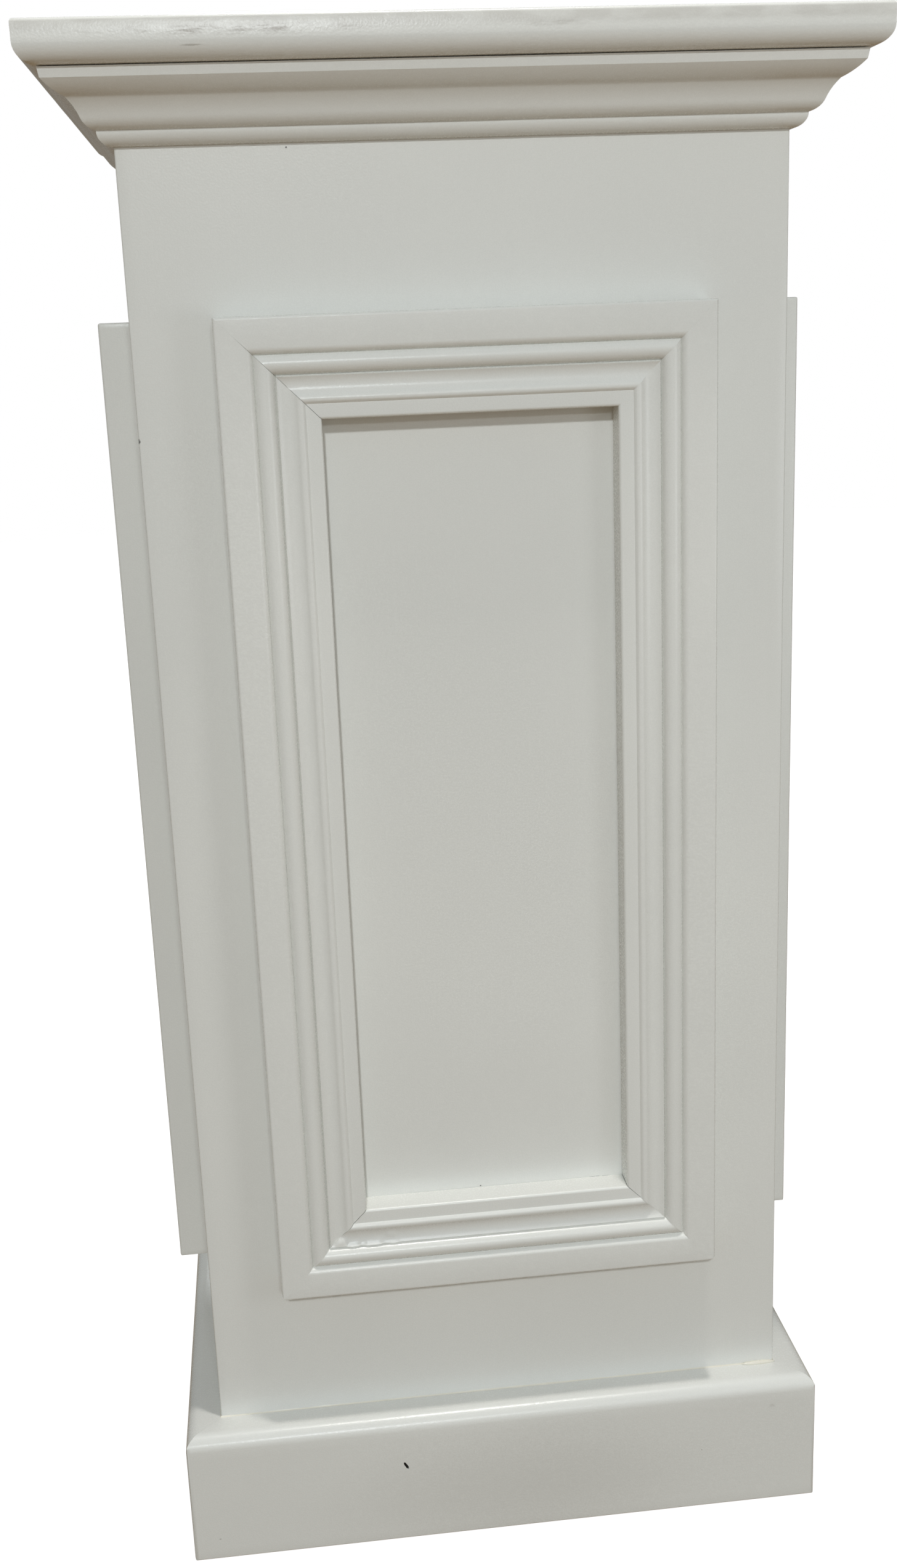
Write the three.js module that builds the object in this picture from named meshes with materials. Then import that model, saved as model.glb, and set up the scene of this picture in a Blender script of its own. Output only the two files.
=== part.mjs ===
// White-painted square pedestal column, built as joinery: a hollow box of four boards, a frame of mitred
// panel moulding planted on each face, mitred plinth boards round the foot, and a cornice of mitred bed
// moulding under an overhanging top board. Millimetres, +Z up, the origin in the middle of the underside.

import * as THREE from 'three';

// Driving dimensions of the whole column
const HEIGHT = 915;
const SHAFT_WIDTH = 365;
const BOARD_THICKNESS = 18;
const JOINT_GAP = 0.3;

// Top board: a large roundover along the lower edge, an eased upper edge
const TOP_THICKNESS = 20.5;
const TOP_OVERHANG = 42.5;
const TOP_ROUND = 9.5;
const TOP_EASE = 2;

// Plinth boards: a rounded upper edge, an eased lower edge
const PLINTH_HEIGHT = 89;
const PLINTH_THICKNESS = 22.5;
const PLINTH_ROUND = 9;
const PLINTH_EASE = 1.5;

// Bed moulding of the cornice, from its foot up: bead, step, reed, cove, ovolo and fillet.
// OUT is the distance from the shaft, UP the height above the moulding's foot, RISE an arc's height.
const BED_HEIGHT = 36;
const BEAD_FOOT_OUT = 1.5;
const BEAD_OUT = 7.8;
const BEAD_UP = 6.5;
const BEAD_RISE = 1.4;
const STEP_UP = 8.6;
const REED_OUT = 14.8;
const REED_UP = 13.2;
const REED_RISE = 1.2;
const COVE_OUT = 21;
const COVE_UP = 22.6;
const COVE_RISE = -0.6;
const OVOLO_OUT = 31.3;
const OVOLO_UP = 30.7;
const OVOLO_RISE = 1.6;
const FILLET_OUT = 32.5;

// Panel frame on each face, and its height above the plinth
const FRAME_WIDTH = 275.5;
const FRAME_HEIGHT = 589.5;
const FRAME_ABOVE_PLINTH = 92;

// Panel moulding, from the sight edge outwards: land, crest, dish, quirk, round and flat border.
// IN is the distance from the frame's outer edge, DEEP the height above the shaft, RISE an arc's height.
const CASING_WIDTH = 55.4;
const CASING_DEEP = 20.5;
const SIGHT_EASE = 1.6;
const LAND_DEEP = 16.4;
const LAND_IN = 46.9;
const CREST_IN = 46.3;
const CREST_DEEP = 17.8;
const CREST_RISE = 0.45;
const DISH_IN = 41.1;
const DISH_DEEP = 17.2;
const DISH_RISE = -1.05;
const LIP_IN = 31.9;
const QUIRK_IN = 31.1;
const QUIRK_DEEP = 16.1;
const ROUND_IN = 30.6;
const ROUND_DEEP = 17.3;
const ROUND_RISE = 1.9;
const BORDER_IN = 20.3;
const BORDER_ROUND = 3.2;
const BORDER_EASE = 1.6;

const CURVE_STEPS = 6;
const QUARTER = Math.PI / 2;
const HALF_SHAFT = SHAFT_WIDTH / 2;
const SIDES = ['front', 'right', 'back', 'left'];
const FRAME_PLACES = ['bottom', 'right', 'top', 'left'];

const column = new THREE.Group();

function paintedPiece(name, geometry) {
  const paint = new THREE.MeshStandardMaterial({ color: 0xe8e7e1, roughness: 0.4, metalness: 0 });
  const piece = new THREE.Mesh(geometry, paint);
  piece.name = name;
  return piece;
}

// An arc from the path's current point to (x, y). A positive rise bulges to the right of the way it runs,
// which is out of the wood, because every section here is drawn anticlockwise.
function arcTo(path, x, y, rise) {
  const from = path.currentPoint.clone();
  const to = new THREE.Vector2(x, y);
  const halfChord = from.distanceTo(to) / 2;
  const radius = (halfChord ** 2 + rise ** 2) / (2 * rise);
  const leftward = new THREE.Vector2(from.y - to.y, to.x - from.x).normalize();
  const centre = from.clone().add(to).multiplyScalar(0.5).addScaledVector(leftward, radius - rise);
  const start = Math.atan2(from.y - centre.y, from.x - centre.x);
  const end = Math.atan2(to.y - centre.y, to.x - centre.x);
  path.absarc(centre.x, centre.y, Math.abs(radius), start, end, rise < 0);
}

function quarterRise(radius) {
  return radius * (1 - Math.SQRT1_2);
}

// A length of moulding along X with its section in Y and Z. Each end is cut at 45 degrees, so that the
// length grows (taper 1) or shrinks (taper -1) with the section's Y.
function mitredLength(section, halfLength, taper) {
  const options = { depth: 1, bevelEnabled: false, curveSegments: CURVE_STEPS };
  const geometry = new THREE.ExtrudeGeometry(section, options);
  const setback = JOINT_GAP * Math.SQRT1_2;
  const position = geometry.getAttribute('position');
  for (let i = 0; i < position.count; i += 1) {
    const across = position.getX(i);
    const end = position.getZ(i) > 0.5 ? 1 : -1;
    const reach = halfLength + taper * across - setback;
    position.setXYZ(i, end * reach, across, position.getY(i));
  }
  geometry.computeVertexNormals();
  return geometry;
}

// The top board is a square turning: a lathe of four steps whose radius is the half diagonal.
function topBoard() {
  const half = HALF_SHAFT + TOP_OVERHANG;
  const edge = new THREE.Path();
  edge.moveTo(half - TOP_ROUND, 0);
  arcTo(edge, half, TOP_ROUND, quarterRise(TOP_ROUND));
  edge.lineTo(half, TOP_THICKNESS - TOP_EASE);
  arcTo(edge, half - TOP_EASE, TOP_THICKNESS, quarterRise(TOP_EASE));
  const outline = edge.getPoints(CURVE_STEPS).map((p) => new THREE.Vector2(p.x * Math.SQRT2, p.y));
  const underside = new THREE.Vector2(0, 0);
  const upside = new THREE.Vector2(0, TOP_THICKNESS);
  const geometry = new THREE.LatheGeometry([underside, ...outline, upside], SIDES.length, QUARTER / 2);
  geometry.rotateX(QUARTER);
  const board = paintedPiece('top_board', geometry);
  board.position.z = HEIGHT - TOP_THICKNESS;
  return board;
}

function bedSection() {
  const section = new THREE.Shape();
  section.moveTo(JOINT_GAP, 0);
  section.lineTo(BEAD_FOOT_OUT, 0);
  arcTo(section, BEAD_OUT, BEAD_UP, BEAD_RISE);
  section.lineTo(BEAD_OUT, STEP_UP);
  arcTo(section, REED_OUT, REED_UP, REED_RISE);
  arcTo(section, COVE_OUT, COVE_UP, COVE_RISE);
  arcTo(section, OVOLO_OUT, OVOLO_UP, OVOLO_RISE);
  section.lineTo(FILLET_OUT, BED_HEIGHT - JOINT_GAP);
  section.lineTo(JOINT_GAP, BED_HEIGHT - JOINT_GAP);
  return section;
}

function plinthSection() {
  const section = new THREE.Shape();
  section.moveTo(JOINT_GAP, 0);
  section.lineTo(PLINTH_THICKNESS - PLINTH_EASE, 0);
  arcTo(section, PLINTH_THICKNESS, PLINTH_EASE, quarterRise(PLINTH_EASE));
  section.lineTo(PLINTH_THICKNESS, PLINTH_HEIGHT - PLINTH_ROUND);
  arcTo(section, PLINTH_THICKNESS - PLINTH_ROUND, PLINTH_HEIGHT, quarterRise(PLINTH_ROUND));
  section.lineTo(JOINT_GAP, PLINTH_HEIGHT);
  return section;
}

function casingSection() {
  const section = new THREE.Shape();
  section.moveTo(CASING_WIDTH, JOINT_GAP);
  section.lineTo(CASING_WIDTH, LAND_DEEP - SIGHT_EASE);
  arcTo(section, CASING_WIDTH - SIGHT_EASE, LAND_DEEP, quarterRise(SIGHT_EASE));
  section.lineTo(LAND_IN, LAND_DEEP);
  section.lineTo(CREST_IN, CREST_DEEP);
  arcTo(section, DISH_IN, DISH_DEEP, CREST_RISE);
  arcTo(section, LIP_IN, DISH_DEEP, DISH_RISE);
  section.lineTo(QUIRK_IN, QUIRK_DEEP);
  section.lineTo(ROUND_IN, ROUND_DEEP);
  arcTo(section, BORDER_IN, CASING_DEEP - BORDER_ROUND, ROUND_RISE);
  arcTo(section, BORDER_IN - BORDER_ROUND, CASING_DEEP, quarterRise(BORDER_ROUND));
  section.lineTo(BORDER_EASE, CASING_DEEP);
  arcTo(section, 0, CASING_DEEP - BORDER_EASE, quarterRise(BORDER_EASE));
  section.lineTo(0, JOINT_GAP);
  return section;
}

// The front and back boards cover the ends of the boards at the sides.
function shaftBoard(side, index) {
  const covers = index % 2 === 0;
  const width = covers ? SHAFT_WIDTH : SHAFT_WIDTH - 2 * (BOARD_THICKNESS + JOINT_GAP);
  const height = HEIGHT - TOP_THICKNESS;
  const board = paintedPiece(`shaft_${side}`, new THREE.BoxGeometry(width, BOARD_THICKNESS, height));
  board.position.set(0, -(HALF_SHAFT - BOARD_THICKNESS / 2), height / 2);
  return board;
}

// A length that runs right along one side of the shaft, with its foot at the given height.
function plantedLength(name, section, foot) {
  const length = paintedPiece(name, mitredLength(section, HALF_SHAFT, 1));
  length.rotation.z = Math.PI;
  length.position.set(0, -HALF_SHAFT, foot);
  return length;
}

function panelFrame(side) {
  const frame = new THREE.Group();
  frame.rotation.x = QUARTER;
  frame.position.set(0, -HALF_SHAFT, PLINTH_HEIGHT + FRAME_ABOVE_PLINTH + FRAME_HEIGHT / 2);
  FRAME_PLACES.forEach((place, index) => {
    const upright = index % 2 === 1;
    const halfLength = (upright ? FRAME_HEIGHT : FRAME_WIDTH) / 2;
    const fromMiddle = (upright ? FRAME_WIDTH : FRAME_HEIGHT) / 2;
    const length = paintedPiece(`frame_${side}_${place}`, mitredLength(casingSection(), halfLength, -1));
    length.position.y = -fromMiddle;
    const turned = new THREE.Group();
    turned.rotation.z = index * QUARTER;
    turned.add(length);
    frame.add(turned);
  });
  return frame;
}

column.add(topBoard());
SIDES.forEach((side, index) => {
  const face = new THREE.Group();
  face.rotation.z = index * QUARTER;
  face.add(shaftBoard(side, index));
  face.add(plantedLength(`cornice_${side}`, bedSection(), HEIGHT - TOP_THICKNESS - BED_HEIGHT));
  face.add(plantedLength(`plinth_${side}`, plinthSection(), 0));
  face.add(panelFrame(side));
  column.add(face);
});

export default column;
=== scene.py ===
"""White-painted square pedestal column, modelled over its joinery solids.

Lengths are in metres, +Z is up and the front face looks along -Y. Moulding sections are traced as strokes:
straight lines and round arcs, each arc given by its end point and its rise over the chord.
"""

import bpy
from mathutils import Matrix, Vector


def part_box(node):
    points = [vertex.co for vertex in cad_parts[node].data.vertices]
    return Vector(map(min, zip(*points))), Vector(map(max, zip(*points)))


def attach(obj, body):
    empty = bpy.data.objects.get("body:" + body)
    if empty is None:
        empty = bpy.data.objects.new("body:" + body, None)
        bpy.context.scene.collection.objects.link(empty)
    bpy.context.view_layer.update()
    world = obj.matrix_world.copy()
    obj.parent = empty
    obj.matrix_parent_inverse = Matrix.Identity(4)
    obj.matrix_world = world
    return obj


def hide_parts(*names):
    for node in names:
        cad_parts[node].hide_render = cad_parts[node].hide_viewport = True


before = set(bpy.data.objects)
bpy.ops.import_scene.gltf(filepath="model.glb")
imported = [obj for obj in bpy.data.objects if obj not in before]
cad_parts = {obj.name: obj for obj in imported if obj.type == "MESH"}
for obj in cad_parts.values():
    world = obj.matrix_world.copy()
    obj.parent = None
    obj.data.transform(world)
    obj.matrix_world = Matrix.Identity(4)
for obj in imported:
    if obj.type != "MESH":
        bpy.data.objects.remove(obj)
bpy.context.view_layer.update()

from collections import namedtuple
import math

import bmesh
import bpy
from bpy.props import FloatProperty, FloatVectorProperty, PointerProperty
from mathutils import Matrix, Vector

bl_info = {
    "name": "Painted Pedestal Column",
    "version": (1, 0, 0),
    "blender": (4, 5, 0),
    "location": "3D View > Sidebar > Column",
    "description": "Models a white-painted square pedestal column with panel frames, plinth and cornice",
    "category": "Object",
}

# Places and sizes that the solids give
SHAFT_LOW, SHAFT_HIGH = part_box("shaft_front")
TOP_LOW, TOP_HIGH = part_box("top_board")
PLINTH_LOW, PLINTH_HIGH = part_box("plinth_front")
CORNICE_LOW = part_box("cornice_front")[0]
SILL_LOW, SILL_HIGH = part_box("frame_front_bottom")
HEAD_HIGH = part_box("frame_front_top")[1]

SIDES = ("front", "right", "back", "left")
FRAME_PLACES = ("bottom", "right", "top", "left")
QUARTER = math.pi / 2

# Bed moulding of the cornice: distance out from the shaft, height up from its foot, arc rises
BEAD_FOOT_OUT = 0.0015
BEAD_OUT = 0.0078
BEAD_UP = 0.0060
BEAD_RISE = 0.0014
STEP_UP = 0.0075
REED_OUT = 0.0148
REED_UP = 0.0132
REED_RISE = 0.0012
COVE_OUT = 0.0210
COVE_UP = 0.0226
COVE_RISE = -0.0006
OVOLO_OUT = 0.0316
OVOLO_UP = 0.0303
OVOLO_RISE = 0.0007
FILLET_OUT = 0.0325
BOARD_JOINT = 0.0006

# Panel moulding: distance in from the frame's outer edge, height deep above the shaft, arc rises
CASING_WIDTH = 0.0554
CASING_DEEP = 0.0205
SIGHT_EASE = 0.0016
LAND_DEEP = 0.0164
LAND_IN = 0.0469
CREST_IN = 0.0457
CREST_DEEP = 0.0178
CREST_RISE = 0.0006
DISH_IN = 0.0420
DISH_DEEP = 0.0172
DISH_RISE = -0.0015
LIP_IN = 0.0321
QUIRK_IN = 0.0312
QUIRK_DEEP = 0.0153
ROUND_IN = 0.0304
ROUND_DEEP = 0.0173
ROUND_RISE = 0.0026
BORDER_IN = 0.0203
BORDER_DROP = 0.0027
BORDER_RUN = 0.0038
BORDER_RISE = 0.0007
BORDER_EASE = 0.0016
VALLEY_WIDE = 0.0007
VALLEY_SINK = 0.0007

# Edges of the boards
TOP_ROUND = 0.0095
TOP_EASE = 0.0020
PLINTH_ROUND = 0.0090
PLINTH_EASE = 0.0015
PLINTH_CORNER = 0.0026
SHAFT_ARRIS = 0.0010

# Open mitres of the front frame: how far in the gap starts, and how wide it is at the sight edge
OpenMitre = namedtuple("OpenMitre", "start_in gape")
OPEN_MITRES = {
    ("bottom", "left"): OpenMitre(0.036, 0.0005),
    ("bottom", "right"): OpenMitre(0.040, 0.0004),
    ("top", "left"): OpenMitre(0.008, 0.0003),
}
# Radius of the frames' outer corners, rounder at the foot of the front frame
FRAME_CORNER = 0.0010
FRONT_FOOT_CORNER = 0.0043
# The back of the front frame's left length is hollowed beside the sight edge, so that its joint stays open
BACK_HOLLOW_WIDE = 0.008
BACK_HOLLOW_DEEP = 0.0008

# Marks on the front: their middle, half width and height, how soft their edge is and how much they cover
Mark = namedtuple("Mark", "x z wide high soft share")
TOP_SMUDGES = (
    Mark(-0.118, 0.9076, 0.100, 0.0032, 0.9, 0.70),
    Mark(0.050, 0.9074, 0.030, 0.0024, 0.9, 0.25),
)
TOP_SCRATCH = Mark(-0.1373, 0.9008, 0.0075, 0.0006, 0.7, 0.55)
SHAFT_SPECKS = (
    Mark(-0.1825, 0.7067, 0.0012, 0.0016, 0.4, 0.8),
    Mark(-0.0924, 0.8561, 0.0006, 0.0006, 0.4, 0.8),
    Mark(-0.0089, 0.2372, 0.0006, 0.0005, 0.4, 0.8),
)
PANEL_CRACK = Mark(0.070, 0.2364, 0.014, 0.0003, 0.3, 0.6)
PANEL_JOINT = Mark(0.0, 0.2366, 0.09, 0.0003, 0.4, 0.12)
PLINTH_SPECKS = (
    Mark(-0.188, 0.015, 0.0008, 0.0005, 0.5, 0.55),
    Mark(0.1284, 0.0433, 0.0006, 0.0005, 0.5, 0.55),
)
PLINTH_SMUDGE = Mark(0.1755, 0.0713, 0.0032, 0.0020, 0.9, 0.20)
# Painted shade: a broad, soft darkening of the plinth board's lower middle, in the grime colour
PLINTH_PAINTED_SHADE = Mark(0.01, 0.030, 0.17, 0.060, 0.9, 0.16)
# How far marks reach in front of and behind their face, and the waves to a metre of their ragged edge
MARK_DEPTH = 0.004
MARK_WAVES = 900.0
MARK_DETAIL = 2.0

# Chip in the front plinth board: its half depth and slant, the half size of the bare spot in it, and the
# depths between which the paint gives way
PLINTH_CHIP = Mark(-0.066, 0.0549, 0.0031, 0.0009, 0.35, 1.0)
PLINTH_CHIP_DEPTH = 0.0016
PLINTH_CHIP_SLANT = math.radians(62)
CHIP_BARE = 0.0036
CHIP_BARE_STARTS = 0.0002
CHIP_BARE_FULL = 0.0005

# Soft lumps of filler and paint on the lower front moulding: their middle, the half sizes of their top,
# how far the paint swells round it, how far it stands proud and how far it has run down
Lump = namedtuple("Lump", "x z wide high swell proud run")
LUMPS = (
    Lump(-0.0990, 0.2166, 0.0026, 0.0014, 0.0030, 0.0011, 0.0002),
    Lump(-0.0912, 0.2136, 0.0026, 0.0008, 0.0028, 0.0005, 0.0003),
    Lump(-0.0788, 0.2136, 0.0038, 0.0008, 0.0030, 0.0005, 0.0004),
    Lump(-0.0662, 0.2136, 0.0018, 0.0008, 0.0026, 0.0003, 0.0003),
    Lump(-0.0672, 0.2178, 0.0020, 0.0010, 0.0024, 0.0005, 0.0),
    Lump(0.0698, 0.1908, 0.0040, 0.0016, 0.0040, 0.0003, 0.0),
)
# The lower moulding is divided more finely where lumps are raised on it
LUMP_CUTS = 5

# Caulk along the foot of the shaft, how hollow it is, the length of its waves, and the thick lens of it
# at the front's right end
CAULK = 0.0008
CAULK_HOLLOW = CAULK / 6
CAULK_WAVE = 0.012
CAULK_TINT = (1.0, 0.96, 0.88)
CAULK_LENS = Vector((0.1725, -0.1832, 0.0893))
CAULK_LENS_HALF = (0.0115, 0.0018, 0.0014)

# Chips and lenses start from a ball, made uneven by shares of their smallest half size
BALL_SEGMENTS = 16
BALL_RINGS = 8
BALL_UNEVEN = 0.3
BALL_WAVE = 2.0

# Length of the slow waves that sanding leaves
SANDING_WAVE = 0.07

# Patterns of noise: waves to a metre along X, Y and Z, detail, and the levels between which they come up
Pattern = namedtuple("Pattern", "waves detail low high")
PEEL = Pattern((850.0, 850.0, 850.0), 1.0, 0.3, 0.7)
CLOUD = Pattern((7.0, 7.0, 7.0), 3.0, 0.2, 0.8)
HAND_STREAKS = Pattern((70.0, 70.0, 800.0), 3.0, 0.30, 0.60)
HAND_BLOTCHES = Pattern((60.0, 60.0, 160.0), 2.0, 0.35, 0.60)
CRACK_BREAKS = Pattern((260.0, 260.0, 260.0), 2.0, 0.45, 0.55)

# Brush strokes: waves to a metre across and along them
BRUSH_ACROSS = 420.0
BRUSH_ALONG = 9.0
BRUSH_DETAIL = 2.0

# The patterns dull the paint by these shares, and the fine ones change its roughness and its relief
DULL = 0.92
CLOUD_SHARE = 0.4
BRUSH_SHARE = 0.1
PEEL_SHARE = 0.6
PEEL_ROUGHNESS = 0.06
BRUSH_RELIEF = 0.010
PEEL_RELIEF = 0.050
RELIEF_HEIGHT = 0.001
PAINT_IOR = 1.48

# Grime from hands on the top board's edge, everywhere and in blotches
HANDS = 0.20
HANDS_BLOTCHED = 0.12

# Lamps: where they hang, how wide they are, and whether they show in the shading and in the gloss
Lamp = namedtuple("Lamp", "place wide shading gloss")
LAMPS = {
    "ceiling": Lamp(Vector((0.15, -0.42, 2.60)), 0.12, True, True),
    "front": Lamp(Vector((-0.60, -4.55, 3.12)), 0.30, True, False),
    "low": Lamp(Vector((0.30, -4.60, 1.92)), 0.30, True, False),
    "far": Lamp(Vector((-0.10, -6.50, 2.75)), 0.40, False, True),
    "side": Lamp(Vector((0.75, -0.95, 0.60)), 0.40, True, True),
    "back": Lamp(Vector((0.0, 4.60, 2.60)), 0.60, True, True),
}
LAMP_TARGET = Vector((0.0, -0.18, 0.50))

# The floor is lit from within a little, so that it stays as pale as the backdrop
FLOOR_GLOW = 0.88
FLOOR_RADIUS = 6.0
FLOOR_POINTS = 96
FLOOR_WAVES = (3.0, 3.0, 3.0)
FLOOR_DETAIL = 3.0
FLOOR_PALER = 1.03
FLOOR_ROUGHNESS = 0.9
WHITE = (1.0, 1.0, 1.0, 1.0)

# Elevations between which the ground gives way to the room
GROUND_EDGE_LOW = math.radians(-15)
GROUND_EDGE_HIGH = math.radians(-7)

# Camera as it stood for the photo, with the height of its sensor and its lens in millimetres
CAMERA_PLACE = (-0.11592, -1.12933, 0.75772)
CAMERA_TURN = [math.radians(angle) for angle in (74.892, 2.1816, -6.4248)]
CAMERA_SENSOR = 36.0
CAMERA_LENS = 38.345
CAMERA_NEAR = 0.01

# Mesh fineness
ARC_STEPS = 8
EASE_STEPS = 3
CORNER_CUTS = 3
GRAIN = 0.006
WELD = 0.00001
SMOOTH_ANGLE = math.radians(32)
# An edge runs along an axis by this share of its length, and is long by this share of the longest edge
ALONG_SHARE = 0.9
LONG_SHARE = 0.5


class ColumnSizes(bpy.types.PropertyGroup):
    """Main sizes of the column, taken from its solids."""

    height: FloatProperty(
        name="Height", description="Height of the whole column", default=TOP_HIGH.z, unit="LENGTH")
    shaft_width: FloatProperty(
        name="Shaft width", description="Width of the square shaft",
        default=SHAFT_HIGH.x - SHAFT_LOW.x, unit="LENGTH")
    board_thickness: FloatProperty(
        name="Board thickness", description="Thickness of the shaft's boards",
        default=SHAFT_HIGH.y - SHAFT_LOW.y, unit="LENGTH")
    top_width: FloatProperty(
        name="Top width", description="Width of the square top board",
        default=TOP_HIGH.x - TOP_LOW.x, unit="LENGTH")
    top_thickness: FloatProperty(
        name="Top thickness", description="Thickness of the top board",
        default=TOP_HIGH.z - TOP_LOW.z, unit="LENGTH")
    plinth_height: FloatProperty(
        name="Plinth height", description="Height of the plinth boards",
        default=PLINTH_HIGH.z, unit="LENGTH")
    plinth_thickness: FloatProperty(
        name="Plinth thickness", description="Distance from the shaft to the front of the plinth",
        default=SHAFT_LOW.y - PLINTH_LOW.y, unit="LENGTH")
    bed_height: FloatProperty(
        name="Bed moulding height", description="Height of the moulding under the top board",
        default=TOP_LOW.z - CORNICE_LOW.z, unit="LENGTH")
    frame_width: FloatProperty(
        name="Frame width", description="Outer width of a panel frame",
        default=SILL_HIGH.x - SILL_LOW.x, unit="LENGTH")
    frame_height: FloatProperty(
        name="Frame height", description="Outer height of a panel frame",
        default=HEAD_HIGH.z - SILL_LOW.z, unit="LENGTH")
    frame_foot: FloatProperty(
        name="Frame foot", description="Height of a panel frame's lower edge above the floor",
        default=SILL_LOW.z, unit="LENGTH")


class PaintFinish(bpy.types.PropertyGroup):
    """Colour and surface of the paint."""

    colour: FloatVectorProperty(
        name="Paint", description="Colour of the clean paint", default=(0.815, 0.815, 0.775),
        subtype="COLOR", min=0.0, max=1.0)
    # The grime colour also paints the shade on the plinth board's lower middle
    grime: FloatVectorProperty(
        name="Grime", description="Colour of scuffs and rubbed places", default=(0.32, 0.29, 0.25),
        subtype="COLOR", min=0.0, max=1.0)
    bare: FloatVectorProperty(
        name="Bare spot", description="Colour of chips and specks", default=(0.02, 0.018, 0.016),
        subtype="COLOR", min=0.0, max=1.0)
    roughness: FloatProperty(
        name="Roughness", description="Roughness of the satin paint", default=0.27,
        subtype="FACTOR", min=0.0, max=1.0)
    waviness: FloatProperty(
        name="Waviness", description="Height of the slow unevenness of the sanded wood", default=0.00025,
        unit="LENGTH")


class StageLooks(bpy.types.PropertyGroup):
    """Floor, lights and surroundings."""

    floor: FloatVectorProperty(
        name="Floor", description="Colour of the plain floor", default=(0.45, 0.44, 0.43),
        subtype="COLOR", min=0.0, max=1.0)
    sky_light: FloatVectorProperty(
        name="Light from above", description="Soft light from the room above the floor",
        default=(0.270, 0.276, 0.270), subtype="COLOR", min=0.0)
    floor_light: FloatVectorProperty(
        name="Light from below", description="Warm light that comes back from the ground",
        default=(0.212, 0.144, 0.074), subtype="COLOR", min=0.0)
    lamp_colour: FloatVectorProperty(
        name="Lamp colour", description="Colour of the lamps in front", default=(0.90, 0.955, 0.99),
        subtype="COLOR", min=0.0, max=1.0)
    ceiling_colour: FloatVectorProperty(
        name="Ceiling lamp colour", description="Colour of the lamp above", default=(1.0, 0.97, 0.93),
        subtype="COLOR", min=0.0, max=1.0)
    ceiling_power: FloatProperty(
        name="Ceiling lamp", description="Power of the lamp above the column", default=18.0, min=0.0)
    front_power: FloatProperty(
        name="Front lamp", description="Power of the lamp high in front of the column",
        default=94.0, min=0.0)
    low_power: FloatProperty(
        name="Low lamp", description="Power of the lower lamp in front of the column",
        default=20.0, min=0.0)
    far_power: FloatProperty(
        name="Far lamp", description="Power of the far lamp that glints in the paint",
        default=60.0, min=0.0)
    side_power: FloatProperty(
        name="Side lamp", description="Power of the weak lamp near the right side", default=0.9, min=0.0)
    back_power: FloatProperty(
        name="Back lamp", description="Power of the lamp behind the column", default=70.0, min=0.0)


def leave_edit_mode():
    """Object mode with nothing selected."""
    if bpy.context.object and bpy.context.object.mode != "OBJECT":
        bpy.ops.object.mode_set(mode="OBJECT")
    bpy.ops.object.select_all(action="DESELECT")


def pick(piece):
    """In object mode, makes the piece the active one and the only selected one."""
    leave_edit_mode()
    piece.select_set(True)
    bpy.context.view_layer.objects.active = piece


def work_on(piece):
    """Picks the piece and opens all of it for editing."""
    pick(piece)
    bpy.ops.object.mode_set(mode="EDIT")
    bpy.ops.mesh.select_all(action="SELECT")


def copy_of(piece, name):
    """A copy of the piece with its own mesh."""
    pick(piece)
    bpy.ops.object.duplicate(linked=False)
    copy = bpy.context.object
    copy.name = name
    copy.data.name = name
    return copy


def discard(piece):
    """Removes a pattern or a tool shape that has been used."""
    pick(piece)
    bpy.ops.object.delete()


def select_edges(test):
    """In edit mode, selects the edges whose two ends pass the test."""
    mesh = bpy.context.object.data
    bpy.context.tool_settings.mesh_select_mode = (False, True, False)
    bpy.ops.mesh.select_all(action="DESELECT")
    cage = bmesh.from_edit_mesh(mesh)
    found = [edge for edge in cage.edges if test(edge.verts[0].co, edge.verts[1].co)]
    if not found:
        raise RuntimeError("no edges to select")
    for edge in found:
        edge.select_set(True)
    cage.select_flush_mode()
    bmesh.update_edit_mesh(mesh)


def select_points(test):
    """In edit mode, selects the points that pass the test."""
    mesh = bpy.context.object.data
    bpy.context.tool_settings.mesh_select_mode = (True, False, False)
    bpy.ops.mesh.select_all(action="DESELECT")
    cage = bmesh.from_edit_mesh(mesh)
    found = [point for point in cage.verts if test(point.co)]
    if not found:
        raise RuntimeError("no points to select")
    for point in found:
        point.select_set(True)
    bmesh.update_edit_mesh(mesh)


def runs_along(axis, start, end):
    """Whether an edge runs along the axis."""
    run = end - start
    return abs(run[axis]) > ALONG_SHARE * run.length


def divide_along(axis):
    """In edit mode, divides the long edges along the axis into grains, so that the paint can undulate."""
    cage = bmesh.from_edit_mesh(bpy.context.object.data)
    ends = [(edge.verts[0].co, edge.verts[1].co) for edge in cage.edges]
    longest = max((end - start).length for start, end in ends if runs_along(axis, start, end))

    def is_long(start, end):
        return runs_along(axis, start, end) and (end - start).length > LONG_SHARE * longest

    select_edges(is_long)
    bpy.ops.mesh.subdivide(number_cuts=round(longest / GRAIN) - 1)
    bpy.ops.mesh.select_all(action="SELECT")


def new_board(name, middle, size):
    """A new square-edged board, opened for editing."""
    leave_edit_mode()
    bpy.ops.mesh.primitive_cube_add(size=1, location=middle, scale=size)
    board = bpy.context.object
    board.name = name
    bpy.ops.object.transform_apply(location=True, rotation=True, scale=True)
    bpy.ops.object.mode_set(mode="EDIT")
    return board


def ease_edges(test, radius, steps):
    """In edit mode, rounds the edges whose two ends pass the test."""
    select_edges(test)
    bpy.ops.mesh.bevel(offset=radius, segments=steps, profile=0.5, affect="EDGES")


def quarter_rise(radius):
    """Rise of a quarter circle over its chord."""
    return radius * (1 - math.sqrt(0.5))


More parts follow.
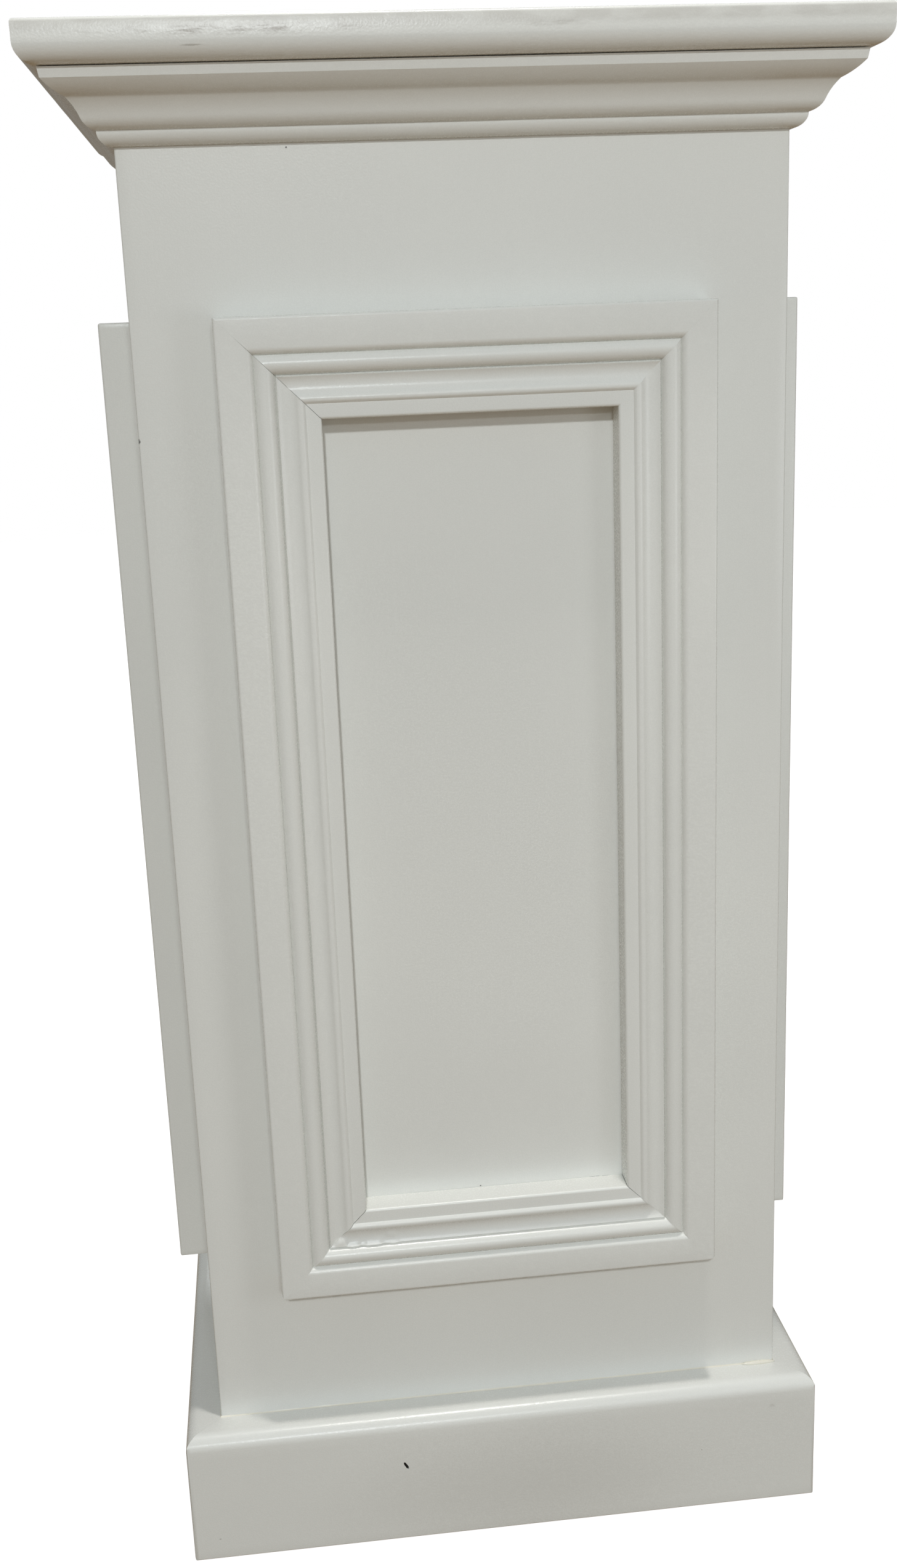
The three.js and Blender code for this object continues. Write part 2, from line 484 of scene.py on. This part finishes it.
def trace_section(name, start, strokes):
    """A new piece holding one flat section in Y and Z, drawn anticlockwise from the start point."""
    leave_edit_mode()
    bpy.ops.mesh.primitive_plane_add(size=GRAIN)
    piece = bpy.context.object
    piece.name = name
    bpy.context.tool_settings.mesh_select_mode = (True, False, False)
    bpy.ops.object.mode_set(mode="EDIT")
    bpy.ops.mesh.select_all(action="SELECT")
    bpy.ops.mesh.merge(type="CENTER")
    bpy.ops.transform.translate(value=(0, *start))
    here = Vector(start)
    for y, z, rise in strokes:
        there = Vector((y, z))
        if rise:
            draw_arc(here, there, rise)
        else:
            draw_line(here, there)
        here = there
    bpy.ops.mesh.select_all(action="SELECT")
    bpy.ops.mesh.remove_doubles(threshold=WELD)
    bpy.ops.mesh.edge_face_add()
    return piece


def draw_line(here, there):
    """Extrudes the selected point in a straight line, in steps of about one grain."""
    steps = max(1, round((there - here).length / GRAIN))
    step = (there - here) / steps
    for _ in range(steps):
        bpy.ops.mesh.extrude_vertices_move(TRANSFORM_OT_translate={"value": (0, step.x, step.y)})


def draw_arc(here, there, rise):
    """Spins the selected point along an arc. A positive rise bulges to the right of the way it runs."""
    chord = there - here
    half = chord.length / 2
    radius = (half ** 2 + rise ** 2) / (2 * rise)
    leftward = Vector((-chord.y, chord.x)).normalized()
    centre = (here + there) / 2 + leftward * (radius - rise)
    sweep = 4 * math.atan2(rise, half)
    bpy.ops.mesh.spin(steps=ARC_STEPS, angle=-sweep, center=(0, *centre), axis=(1, 0, 0))


def draw_out(length):
    """Extrudes the traced section into a length along X, centred, with rings one grain apart."""
    bpy.ops.mesh.select_all(action="SELECT")
    bpy.ops.transform.translate(value=(-length / 2, 0, 0))
    bpy.ops.mesh.extrude_region_move(TRANSFORM_OT_translate={"value": (length, 0, 0)})
    divide_along(0)
    bpy.ops.mesh.normals_make_consistent(inside=False)


def saw(place, outward):
    """In edit mode, saws off what lies beyond a plane and closes the cut."""
    bpy.ops.mesh.select_all(action="SELECT")
    bpy.ops.mesh.bisect(plane_co=place, plane_no=outward, use_fill=True, clear_outer=True)


def round_corner(centre, radius, first, last):
    """In edit mode, rounds an upright corner between two bearings by flat cuts that touch the round."""
    for cut in range(1, CORNER_CUTS + 1):
        bearing = first + (last - first) * cut / CORNER_CUTS
        outward = Vector((math.cos(bearing), math.sin(bearing), 0))
        saw(Vector(centre) + outward * radius, outward)


def blob(middle, half_sizes, slant=0.0):
    """A small uneven ellipsoid, turned by a slant in the front plane, to cut or join with."""
    leave_edit_mode()
    bpy.ops.mesh.primitive_uv_sphere_add(segments=BALL_SEGMENTS, ring_count=BALL_RINGS, radius=1)
    tool = bpy.context.object
    turned = Matrix.Rotation(slant, 4, "Y") @ Matrix.Diagonal((*half_sizes, 1))
    settle(tool, Matrix.Translation(middle) @ turned)
    undulate(tool, BALL_UNEVEN * min(half_sizes), BALL_WAVE * min(half_sizes))
    return tool


def cut_out(piece, tool):
    """Cuts a tool shape out of a piece, and uses up the tool."""
    pick(piece)
    carving = piece.modifiers.new("carving", "BOOLEAN")
    carving.operation = "DIFFERENCE"
    carving.solver = "EXACT"
    carving.object = tool
    bpy.ops.object.modifier_apply(modifier=carving.name)
    discard(tool)


def stick_on(piece, lump):
    """Joins a lump, half sunk in the surface, with a piece."""
    pick(piece)
    lump.select_set(True)
    bpy.ops.object.join()


def near_a_lump(start, end):
    """Whether an edge runs along X beside a lump."""
    middle = (start.x + end.x) / 2
    beside = any(abs(middle - lump.x) < lump.wide + lump.swell + GRAIN for lump in LUMPS)
    return beside and runs_along(0, start, end)


def raise_lump(piece, lump):
    """Swells the paint on the front of a moulding softly outwards and down."""
    work_on(piece)
    face = SHAFT_LOW.y - LAND_DEEP / 2

    def on_top(point):
        return abs(point.x - lump.x) < lump.wide and abs(point.z - lump.z) < lump.high and point.y < face

    select_points(on_top)
    bpy.ops.transform.translate(
        value=(0, -lump.proud, -lump.run), use_proportional_edit=True,
        proportional_edit_falloff="SMOOTH", proportional_size=lump.swell)


def undulate(piece, height, scale):
    """Moves the surface in and out a little, as sanded and painted wood is never quite flat."""
    pick(piece)
    clouds = bpy.data.textures.get("hand_sanding") or bpy.data.textures.new("hand_sanding", "CLOUDS")
    clouds.noise_basis = "IMPROVED_PERLIN"
    clouds.noise_scale = scale
    clouds.noise_depth = 1
    wave = piece.modifiers.new("hand_sanding", "DISPLACE")
    wave.texture = clouds
    wave.texture_coords = "LOCAL"
    wave.mid_level = 0.5
    wave.strength = height
    bpy.ops.object.modifier_apply(modifier=wave.name)


def sand(piece):
    """Leaves the slow unevenness of sanding on a piece of wood."""
    undulate(piece, bpy.context.scene.column_paint.waviness, SANDING_WAVE)


def settle(piece, place):
    """Puts the piece in its place, with the place in its mesh."""
    pick(piece)
    piece.matrix_world = place
    bpy.ops.object.transform_apply(location=True, rotation=True, scale=True)


def finish_piece(piece, paint, *nodes):
    """Paints a piece, smooths its shading and lets it stand for its solids."""
    work_on(piece)
    bpy.ops.mesh.remove_doubles(threshold=WELD)
    bpy.ops.mesh.normals_make_consistent(inside=False)
    pick(piece)
    bpy.ops.object.shade_smooth_by_angle(angle=SMOOTH_ANGLE)
    piece.data.materials.clear()
    piece.data.materials.append(paint)
    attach(piece, "root")
    if nodes:
        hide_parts(*nodes)


class Value:
    """A shader value that takes part in Python arithmetic, where each step adds one Math node."""

    def __init__(self, nodes, socket):
        self.nodes = nodes
        self.socket = socket

    def step(self, operation, first, second):
        node = self.nodes.add("ShaderNodeMath", {"operation": operation}, {0: first, 1: second})
        return Value(self.nodes, node.outputs[0])

    def __add__(self, other):
        return self.step("ADD", self, other)

    def __radd__(self, other):
        return self.step("ADD", other, self)

    def __sub__(self, other):
        return self.step("SUBTRACT", self, other)

    def __mul__(self, other):
        return self.step("MULTIPLY", self, other)

    def __rmul__(self, other):
        return self.step("MULTIPLY", other, self)


class ShaderNodes:
    """The nodes of one paint, or of the surroundings."""

    def __init__(self, tree, space="Object"):
        self.tree = tree
        self.tree.nodes.clear()
        self.place = self.add("ShaderNodeTexCoord", {}, {}).outputs[space]

    def add(self, kind, settings, inputs):
        """Adds a node of that type, with its settings first and then the values or links of its sockets."""
        node = self.tree.nodes.new(kind)
        for name, value in settings.items():
            setattr(node, name, value)
        for name, value in inputs.items():
            if isinstance(value, Value):
                value = value.socket
            if isinstance(value, bpy.types.NodeSocket):
                self.tree.links.new(value, node.inputs[name])
            else:
                node.inputs[name].default_value = value
        return node

    def noise(self, waves, detail):
        """Noise from about 0 to 1, with so many waves to a metre along X, Y and Z."""
        mapping = self.add("ShaderNodeMapping", {}, {"Vector": self.place, "Scale": waves})
        texture = self.add(
            "ShaderNodeTexNoise", {}, {"Vector": mapping.outputs[0], "Scale": 1.0, "Detail": detail})
        return Value(self, texture.outputs["Fac"])

    def ramp(self, value, low, high):
        """Runs smoothly from 0 at low to 1 at high."""
        node = self.add(
            "ShaderNodeMapRange", {"interpolation_type": "SMOOTHSTEP"},
            {"Value": value, "From Min": low, "From Max": high})
        return Value(self, node.outputs["Result"])

    def pattern(self, pattern):
        """Runs from 0 to 1 as the noise of a pattern comes up."""
        return self.ramp(self.noise(pattern.waves, pattern.detail), pattern.low, pattern.high)

    def spot(self, mark, face):
        """The cover of a mark on the front face at that Y, with a ragged edge, and 0 outside it."""
        ragged = self.add(
            "ShaderNodeTexNoise", {}, {"Vector": self.place, "Scale": MARK_WAVES, "Detail": MARK_DETAIL})
        wander = self.add(
            "ShaderNodeVectorMath", {"operation": "MULTIPLY_ADD"},
            {0: ragged.outputs["Color"], 1: (mark.high, 0.0, mark.high), 2: self.place})
        middle = (mark.x + mark.high / 2, face, mark.z + mark.high / 2)
        offset = self.add(
            "ShaderNodeVectorMath", {"operation": "SUBTRACT"}, {0: wander.outputs[0], 1: middle})
        share = self.add(
            "ShaderNodeVectorMath", {"operation": "DIVIDE"},
            {0: offset.outputs[0], 1: (mark.wide, MARK_DEPTH, mark.high)})
        far = self.add("ShaderNodeVectorMath", {"operation": "LENGTH"}, {0: share.outputs[0]})
        return mark.share * self.ramp(Value(self, far.outputs["Value"]), 1.0, 1.0 - mark.soft)

    def spots(self, marks, face):
        """The cover of several marks on one face."""
        return sum(self.spot(mark, face) for mark in marks)

    def along(self, axis):
        """The distance along X, Y or Z."""
        parts = self.add("ShaderNodeSeparateXYZ", {}, {"Vector": self.place})
        return Value(self, parts.outputs[axis])

    def mix(self, share, first, second):
        """A colour between two colours."""
        node = self.add("ShaderNodeMix", {"data_type": "RGBA"}, {0: share, 6: first, 7: second})
        return node.outputs[2]

    def cover(self, colour, roughness, height):
        """Joins colour, roughness and fine relief into the paint's shader."""
        bump = self.add(
            "ShaderNodeBump", {}, {"Height": height, "Distance": RELIEF_HEIGHT, "Strength": 1.0})
        shader = self.add(
            "ShaderNodeBsdfPrincipled", {},
            {"Base Color": colour, "Roughness": roughness, "Normal": bump.outputs[0], "IOR": PAINT_IOR})
        self.add("ShaderNodeOutputMaterial", {}, {"Surface": shader.outputs[0]})


def new_material(name):
    """An empty material that uses nodes."""
    material = bpy.data.materials.new(name)
    material.use_nodes = True
    return material


def opaque(colour):
    """A colour property with its alpha."""
    return (*colour, 1.0)


def white_paint(name, along, rubbed=None, bare=None, tint=(1.0, 1.0, 1.0)):
    """Satin white paint brushed along one axis. Two optional functions of the nodes give masks: one for
    grime and painted shade, one for bare marks.
    """
    finish = bpy.context.scene.column_paint
    material = new_material(name)
    nodes = ShaderNodes(material.node_tree)
    brush = [BRUSH_ACROSS] * 3
    brush[along] = BRUSH_ALONG
    streaks = nodes.noise(brush, BRUSH_DETAIL)
    peel = nodes.noise(PEEL.waves, PEEL.detail)
    pits = nodes.ramp(peel, PEEL.low, PEEL.high)
    clean = opaque([channel * share for channel, share in zip(finish.colour, tint)])
    dull = opaque([channel * DULL for channel in clean[:3]])
    shade = CLOUD_SHARE * nodes.pattern(CLOUD) + BRUSH_SHARE * streaks + PEEL_SHARE * pits
    colour = nodes.mix(shade, clean, dull)
    if rubbed:
        # Turns to the grime colour where there is grime, and where shade is painted
        colour = nodes.mix(rubbed(nodes), colour, opaque(finish.grime))
    if bare:
        colour = nodes.mix(bare(nodes), colour, opaque(finish.bare))
    roughness = finish.roughness + PEEL_ROUGHNESS * (peel - 0.5)
    relief = BRUSH_RELIEF * streaks + PEEL_RELIEF * peel
    nodes.cover(colour, roughness, relief)
    return material


def paint_along(along):
    """The plain paint brushed along X, Y or Z, made once."""
    name = "white_paint_along_" + "xyz"[along]
    return bpy.data.materials.get(name) or white_paint(name, along)


def top_board_paint():
    """Paint of the top board, whose edge is greyed by hands, with streaks and a scratch."""

    def rubbed(nodes):
        height = nodes.along("Z")
        above_round = nodes.ramp(height, TOP_HIGH.z - TOP_ROUND, TOP_HIGH.z - TOP_ROUND / 2)
        below_top = nodes.ramp(height, TOP_HIGH.z - TOP_EASE / 5, TOP_HIGH.z - TOP_EASE)
        blotches = nodes.pattern(HAND_BLOTCHES)
        hands = above_round * below_top * (HANDS + HANDS_BLOTCHED * blotches)
        smudges = nodes.spots(TOP_SMUDGES, TOP_LOW.y) * nodes.pattern(HAND_STREAKS) * blotches
        return hands + smudges + nodes.spot(TOP_SCRATCH, TOP_LOW.y)

    return white_paint("white_paint_top_board", 0, rubbed=rubbed)


def shaft_front_paint():
    """Paint of the shaft's front board, with a few dark specks and a cracked joint at the panel's foot."""

    def bare(nodes):
        crack = nodes.pattern(CRACK_BREAKS) * nodes.spot(PANEL_CRACK, SHAFT_LOW.y)
        return nodes.spots(SHAFT_SPECKS, SHAFT_LOW.y) + crack + nodes.spot(PANEL_JOINT, SHAFT_LOW.y)

    return white_paint("white_paint_shaft_front", 2, bare=bare)


def plinth_front_paint():
    """Paint of the front plinth board, with painted shade over its lower middle, a chip, two specks and a
    smudge.
    """

    def rubbed(nodes):
        # A real smudge and specks, plus painted shade that darkens the lower middle
        return nodes.spots((PLINTH_PAINTED_SHADE, PLINTH_SMUDGE, *PLINTH_SPECKS), PLINTH_LOW.y)

    def bare(nodes):
        around = nodes.spot(PLINTH_CHIP._replace(wide=CHIP_BARE, high=CHIP_BARE), PLINTH_LOW.y)
        inside = nodes.ramp(
            nodes.along("Y"), PLINTH_LOW.y + CHIP_BARE_STARTS, PLINTH_LOW.y + CHIP_BARE_FULL)
        return around * inside

    return white_paint("white_paint_plinth_front", 0, rubbed=rubbed, bare=bare)


def side_turn(index):
    """Turns the front side to one of the four sides."""
    return Matrix.Rotation(index * QUARTER, 4, "Z")


class COLUMN_OT_top_board(bpy.types.Operator):
    """Models the square top board with its rounded lower edge"""

    bl_idname = "column.top_board"
    bl_label = "Top board"

    def execute(self, context):
        sizes = context.scene.column_sizes
        bottom = sizes.height - sizes.top_thickness
        board = new_board(
            "top_board_painted", (0, 0, sizes.height - sizes.top_thickness / 2),
            (sizes.top_width, sizes.top_width, sizes.top_thickness))
        ease_edges(lambda a, b: max(a.z, b.z) < bottom + WELD, TOP_ROUND, ARC_STEPS)
        ease_edges(lambda a, b: min(a.z, b.z) > sizes.height - WELD, TOP_EASE, EASE_STEPS)
        divide_along(0)
        divide_along(1)
        sand(board)
        finish_piece(board, top_board_paint(), "top_board")
        return {"FINISHED"}


def planted_lengths(pattern, sizes, foot, naming, corner=None):
    """Mitred copies of a straight length on the four sides, with round corners if a radius is given."""
    half = sizes.shaft_width / 2
    lengths = []
    for index, side in enumerate(SIDES):
        length = copy_of(pattern, naming.format(side))
        work_on(length)
        for end in (-1, 1):
            saw((end * half, 0, 0), (end, -1, 0))
            if corner:
                reach = sizes.plinth_thickness - corner
                round_corner((end * (half + reach), reach, 0), corner, QUARTER, QUARTER - end * QUARTER / 2)
        outward = Matrix.Translation((0, -half, foot)) @ Matrix.Rotation(math.pi, 4, "Z")
        settle(length, side_turn(index) @ outward)
        lengths.append(length)
    discard(pattern)
    return lengths


class COLUMN_OT_cornice(bpy.types.Operator):
    """Models the four mitred lengths of bed moulding under the top board"""

    bl_idname = "column.cornice"
    bl_label = "Cornice"

    def execute(self, context):
        sizes = context.scene.column_sizes
        strokes = (
            (BEAD_FOOT_OUT, 0, 0),
            (BEAD_OUT, BEAD_UP, BEAD_RISE),
            (BEAD_OUT, STEP_UP, 0),
            (REED_OUT, REED_UP, REED_RISE),
            (COVE_OUT, COVE_UP, COVE_RISE),
            (OVOLO_OUT, OVOLO_UP, OVOLO_RISE),
            (FILLET_OUT, sizes.bed_height - BOARD_JOINT, 0),
            (0, sizes.bed_height - BOARD_JOINT, 0),
            (0, 0, 0),
        )
        pattern = trace_section("bed_moulding", (0, 0), strokes)
        draw_out(sizes.shaft_width + 2 * FILLET_OUT + GRAIN)
        foot = sizes.height - sizes.top_thickness - sizes.bed_height
        for index, length in enumerate(planted_lengths(pattern, sizes, foot, "cornice_{}_painted")):
            sand(length)
            finish_piece(length, paint_along(index % 2), f"cornice_{SIDES[index]}")
        return {"FINISHED"}


class COLUMN_OT_plinth(bpy.types.Operator):
    """Models the four mitred plinth boards with their rounded upper edge"""

    bl_idname = "column.plinth"
    bl_label = "Plinth"

    def execute(self, context):
        sizes = context.scene.column_sizes
        thick = sizes.plinth_thickness
        high = sizes.plinth_height
        strokes = (
            (thick - PLINTH_EASE, 0, 0),
            (thick, PLINTH_EASE, quarter_rise(PLINTH_EASE)),
            (thick, high - PLINTH_ROUND, 0),
            (thick - PLINTH_ROUND, high, quarter_rise(PLINTH_ROUND)),
            (0, high, 0),
            (0, 0, 0),
        )
        pattern = trace_section("plinth_board", (0, 0), strokes)
        draw_out(sizes.shaft_width + 2 * thick + GRAIN)
        lengths = planted_lengths(pattern, sizes, 0, "plinth_{}_painted", PLINTH_CORNER)
        for length in lengths:
            sand(length)
        face = -sizes.shaft_width / 2 - thick
        chip = blob(
            (PLINTH_CHIP.x, face, PLINTH_CHIP.z), (PLINTH_CHIP.wide, PLINTH_CHIP_DEPTH, PLINTH_CHIP.high),
            PLINTH_CHIP_SLANT)
        cut_out(lengths[0], chip)
        for index, length in enumerate(lengths):
            paint = paint_along(index % 2) if index else plinth_front_paint()
            finish_piece(length, paint, f"plinth_{SIDES[index]}")
        return {"FINISHED"}


class COLUMN_OT_shaft(bpy.types.Operator):
    """Models the four boards of the hollow shaft"""

    bl_idname = "column.shaft"
    bl_label = "Shaft"

    def execute(self, context):
        sizes = context.scene.column_sizes
        thick = sizes.board_thickness
        high = sizes.height - sizes.top_thickness
        half = sizes.shaft_width / 2

        def outer_corner(start, end):
            return max(start.y, end.y) < WELD - half and abs(start.z - end.z) > thick

        for index, side in enumerate(SIDES):
            covers = index % 2 == 0
            wide = sizes.shaft_width if covers else sizes.shaft_width - 2 * thick
            board = new_board(f"shaft_{side}_painted", (0, thick / 2 - half, high / 2), (wide, thick, high))
            if covers:
                ease_edges(outer_corner, SHAFT_ARRIS, EASE_STEPS)
            divide_along(0)
            divide_along(2)
            settle(board, side_turn(index))
            sand(board)
            paint = shaft_front_paint() if side == "front" else paint_along(2)
            finish_piece(board, paint, f"shaft_{side}")
        return {"FINISHED"}


class COLUMN_OT_panel_frames(bpy.types.Operator):
    """Models the frame of mitred panel moulding on each face"""

    bl_idname = "column.panel_frames"
    bl_label = "Panel frames"

    def execute(self, context):
        sizes = context.scene.column_sizes
        strokes = (
            (CASING_WIDTH, LAND_DEEP - SIGHT_EASE, 0),
            (CASING_WIDTH - SIGHT_EASE, LAND_DEEP, quarter_rise(SIGHT_EASE)),
            (LAND_IN, LAND_DEEP, 0),
            (CREST_IN, CREST_DEEP, 0),
            (DISH_IN, DISH_DEEP, CREST_RISE),
            (LIP_IN, DISH_DEEP, DISH_RISE),
            (QUIRK_IN, QUIRK_DEEP, 0),
            (ROUND_IN, ROUND_DEEP, 0),
            (BORDER_IN + VALLEY_WIDE / 2, CASING_DEEP - BORDER_DROP, ROUND_RISE),
            (BORDER_IN, CASING_DEEP - BORDER_DROP - VALLEY_SINK, 0),
            (BORDER_IN - VALLEY_WIDE / 2, CASING_DEEP - BORDER_DROP, 0),
            (BORDER_IN - BORDER_RUN, CASING_DEEP, BORDER_RISE),
            (BORDER_EASE, CASING_DEEP, 0),
            (0, CASING_DEEP - BORDER_EASE, quarter_rise(BORDER_EASE)),
            (0, 0, 0),
            (CASING_WIDTH, 0, 0),
        )
        pattern = trace_section("panel_moulding", (CASING_WIDTH, 0), strokes)
        draw_out(sizes.frame_height + GRAIN)
        for index in range(len(SIDES)):
            for turn in range(len(FRAME_PLACES)):
                self.frame_length(sizes, pattern, index, turn)
        discard(pattern)
        return {"FINISHED"}

    def frame_length(self, sizes, pattern, index, turn):
        """One mitred length of a frame."""
        side = SIDES[index]
        spot = FRAME_PLACES[turn]
        upright = turn % 2 == 1
        half_length = (sizes.frame_height if upright else sizes.frame_width) / 2
        from_middle = (sizes.frame_width if upright else sizes.frame_height) / 2
        length = copy_of(pattern, f"frame_{side}_{spot}_painted")
        work_on(length)
        for end in (-1, 1):
            neighbour = FRAME_PLACES[(turn + end) % len(FRAME_PLACES)]
            joint = (neighbour, spot) if upright else (spot, neighbour)
            saw((end * half_length, 0, 0), (end, 1, 0))
            radius = FRAME_CORNER
            if side == "front":
                if joint in OPEN_MITRES:
                    self.open_mitre(OPEN_MITRES[joint], end, half_length)
                radius = FRONT_FOOT_CORNER if "bottom" in joint else FRAME_CORNER
            middle = (end * (half_length - radius), radius, 0)
            round_corner(middle, radius, -QUARTER, -QUARTER + end * QUARTER / 2)
        if (side, spot) == ("front", "left"):
            saw((0, CASING_WIDTH - BACK_HOLLOW_WIDE, 0), (0, BACK_HOLLOW_DEEP / BACK_HOLLOW_WIDE, -1))
        has_lumps = (side, spot) == ("front", "bottom")
        if has_lumps:
            select_edges(near_a_lump)
            bpy.ops.mesh.subdivide(number_cuts=LUMP_CUTS)
        mid_height = sizes.frame_foot + sizes.frame_height / 2
        place = (
            side_turn(index)
            @ Matrix.Translation((0, -sizes.shaft_width / 2, mid_height))
            @ Matrix.Rotation(QUARTER, 4, "X")
            @ Matrix.Rotation(turn * QUARTER, 4, "Z")
            @ Matrix.Translation((0, -from_middle, 0))
        )
        settle(length, place)
        sand(length)
        if has_lumps:
            for lump in LUMPS:
                raise_lump(length, lump)
        along = 2 if upright else index % 2
        finish_piece(length, paint_along(along), f"frame_{side}_{spot}")

    def open_mitre(self, opening, end, half_length):
        """Swings the sawn end back a little towards the sight edge, where the glue line has opened."""
        pivot = Vector((end * (half_length - opening.start_in), opening.start_in, 0))
        outward = Vector((end, 1, 0)).normalized()
        run = (CASING_WIDTH - opening.start_in) * math.sqrt(2)

        def beyond(point):
            return point.y > opening.start_in and abs(outward.dot(point - pivot)) < WELD

        select_points(beyond)
        bpy.ops.transform.rotate(
            value=-end * opening.gape / 2 / run, orient_axis="Z", center_override=pivot)


class COLUMN_OT_foot_caulk(bpy.types.Operator):
    """Models the thin lines of caulk between the shaft and the plinth"""

    bl_idname = "column.foot_caulk"
    bl_label = "Foot caulk"

    def execute(self, context):
        sizes = context.scene.column_sizes
        strokes = ((CAULK, 0, 0), (0, CAULK, -CAULK_HOLLOW), (0, 0, 0))
        pattern = trace_section("foot_caulk", (0, 0), strokes)
        draw_out(sizes.shaft_width + 2 * CAULK + GRAIN)
        lines = planted_lengths(pattern, sizes, sizes.plinth_height, "foot_caulk_{}")
        for line in lines:
            undulate(line, CAULK, CAULK_WAVE)
        stick_on(lines[0], blob(CAULK_LENS, CAULK_LENS_HALF))
        paint = white_paint("white_paint_caulk", 0, tint=CAULK_TINT)
        for line in lines:
            finish_piece(line, paint)
        return {"FINISHED"}


class COLUMN_OT_stage(bpy.types.Operator):
    """Sets up the floor, the lights and the camera"""

    bl_idname = "column.stage"
    bl_label = "Stage"

    def execute(self, context):
        looks = context.scene.column_stage
        self.lay_floor(looks)
        self.light_surround(context.scene, looks)
        for name, lamp in LAMPS.items():
            colour = looks.ceiling_colour if name == "ceiling" else looks.lamp_colour
            self.hang_lamp(f"{name}_lamp", lamp, getattr(looks, f"{name}_power"), colour)
        self.place_camera(context)
        return {"FINISHED"}

    def lay_floor(self, looks):
        """A plain round floor."""
        leave_edit_mode()
        bpy.ops.mesh.primitive_circle_add(vertices=FLOOR_POINTS, radius=FLOOR_RADIUS, fill_type="NGON")
        floor = bpy.context.object
        floor.name = "floor"
        material = new_material("plain_floor")
        nodes = ShaderNodes(material.node_tree)
        grain = nodes.noise(FLOOR_WAVES, FLOOR_DETAIL)
        pale = opaque(looks.floor)
        paler = opaque([min(1.0, channel * FLOOR_PALER) for channel in looks.floor])
        shader = nodes.add(
            "ShaderNodeBsdfPrincipled", {},
            {"Base Color": nodes.mix(grain, pale, paler), "Roughness": FLOOR_ROUGHNESS,
             "Emission Color": WHITE, "Emission Strength": FLOOR_GLOW})
        nodes.add("ShaderNodeOutputMaterial", {}, {"Surface": shader.outputs[0]})
        floor.data.materials.append(material)
        floor.visible_diffuse = False
        floor.visible_glossy = False
        floor.visible_shadow = False

    def light_surround(self, scene, looks):
        """Soft light from a pale room above a warm ground, in front of a white backdrop."""
        world = bpy.data.worlds.new("studio")
        world.use_nodes = True
        nodes = ShaderNodes(world.node_tree, "Generated")
        upward = nodes.ramp(nodes.along("Z"), math.sin(GROUND_EDGE_LOW), math.sin(GROUND_EDGE_HIGH))
        room = nodes.mix(upward, opaque(looks.floor_light), opaque(looks.sky_light))
        light = nodes.add("ShaderNodeBackground", {}, {"Color": room})
        backdrop = nodes.add("ShaderNodeBackground", {}, {"Color": WHITE})
        seen = nodes.add("ShaderNodeLightPath", {}, {}).outputs["Is Camera Ray"]
        surround = nodes.add(
            "ShaderNodeMixShader", {}, {0: seen, 1: light.outputs[0], 2: backdrop.outputs[0]})
        nodes.add("ShaderNodeOutputWorld", {}, {"Surface": surround.outputs[0]})
        scene.world = world
        scene.view_settings.view_transform = "Standard"

    def hang_lamp(self, name, lamp, power, colour):
        """A round area lamp that faces the column."""
        leave_edit_mode()
        bpy.ops.object.light_add(type="AREA", location=lamp.place)
        hung = bpy.context.object
        hung.name = name
        hung.rotation_euler = (LAMP_TARGET - lamp.place).to_track_quat("-Z", "Y").to_euler()
        hung.visible_diffuse = lamp.shading
        hung.visible_glossy = lamp.gloss
        hung.data.shape = "DISK"
        hung.data.size = lamp.wide
        hung.data.energy = power
        hung.data.color = colour

    def place_camera(self, context):
        """The camera stands a little left of the middle, above half height, and looks slightly down."""
        bpy.ops.object.camera_add(location=CAMERA_PLACE, rotation=CAMERA_TURN)
        camera = context.object
        camera.name = "camera"
        camera.data.sensor_fit = "VERTICAL"
        camera.data.sensor_height = CAMERA_SENSOR
        camera.data.lens = CAMERA_LENS
        camera.data.clip_start = CAMERA_NEAR
        context.scene.camera = camera


class COLUMN_PT_sidebar(bpy.types.Panel):
    """Lists the column's settings and its building steps"""

    bl_label = "Column"
    bl_space_type = "VIEW_3D"
    bl_region_type = "UI"
    bl_category = "Column"

    def draw(self, context):
        for group in (context.scene.column_sizes, context.scene.column_paint, context.scene.column_stage):
            box = self.layout.box()
            for name in group.__annotations__:
                box.prop(group, name)
        for step in STEPS:
            self.layout.operator(step.bl_idname)


STEPS = (
    COLUMN_OT_top_board,
    COLUMN_OT_cornice,
    COLUMN_OT_shaft,
    COLUMN_OT_panel_frames,
    COLUMN_OT_plinth,
    COLUMN_OT_foot_caulk,
    COLUMN_OT_stage,
)
CLASSES = (ColumnSizes, PaintFinish, StageLooks, *STEPS, COLUMN_PT_sidebar)


def register():
    for each in CLASSES:
        bpy.utils.register_class(each)
    bpy.types.Scene.column_sizes = PointerProperty(type=ColumnSizes)
    bpy.types.Scene.column_paint = PointerProperty(type=PaintFinish)
    bpy.types.Scene.column_stage = PointerProperty(type=StageLooks)


def unregister():
    del bpy.types.Scene.column_stage
    del bpy.types.Scene.column_paint
    del bpy.types.Scene.column_sizes
    for each in reversed(CLASSES):
        bpy.utils.unregister_class(each)


def main():
    register()
    bpy.ops.column.top_board()
    bpy.ops.column.cornice()
    bpy.ops.column.shaft()
    bpy.ops.column.panel_frames()
    bpy.ops.column.plinth()
    bpy.ops.column.foot_caulk()
    bpy.ops.column.stage()


if __name__ == "__main__":
    main()
